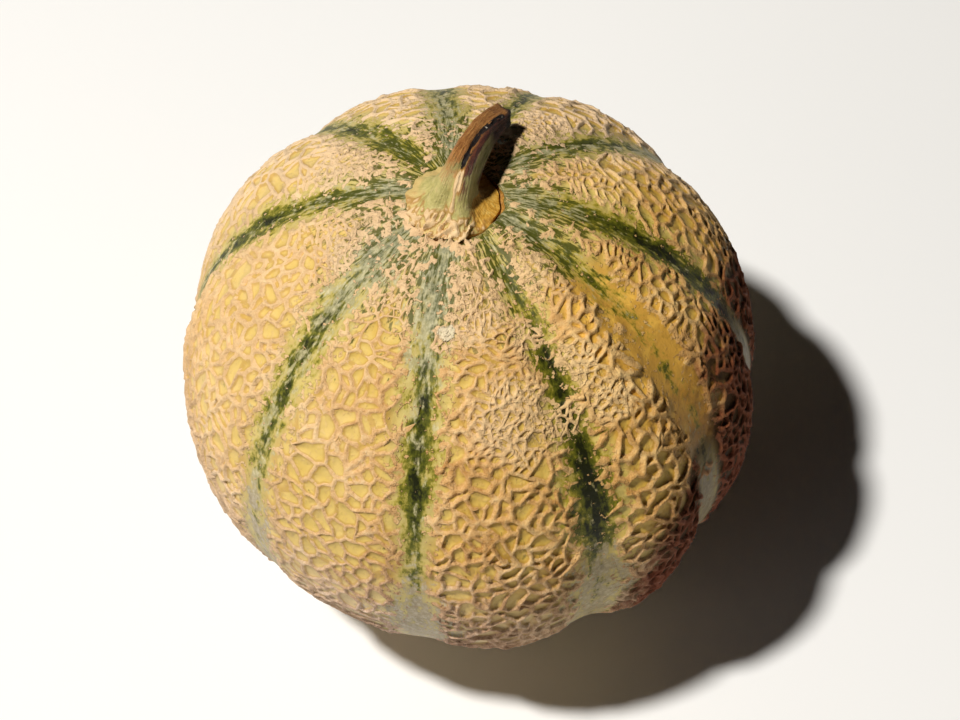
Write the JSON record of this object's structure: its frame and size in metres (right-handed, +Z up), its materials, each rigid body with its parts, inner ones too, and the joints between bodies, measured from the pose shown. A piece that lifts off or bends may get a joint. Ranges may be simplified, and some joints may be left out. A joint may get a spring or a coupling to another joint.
{
  "type": "cantaloupe melon",
  "caption": "Ribbed, netted Charentais-type cantaloupe with its cut stem, resting on the small flat spot at its blossom end.",
  "frame": {"origin": "on the surface that the melon rests on, below the middle of its bounding box", "axes": "+Z up from the blossom end to the stem, -Y to the front, +X to the right"},
  "size_m": [0.141, 0.1406, 0.1414],
  "materials": {
    "rind": "golden rind with tan corky net and green grooves",
    "stem": "dry, ridged, green at the foot and brown at the cut end"
  },
  "bodies": {
    "root": {"fruit": "rind", "stem": "stem"}
  },
  "joints": []
}
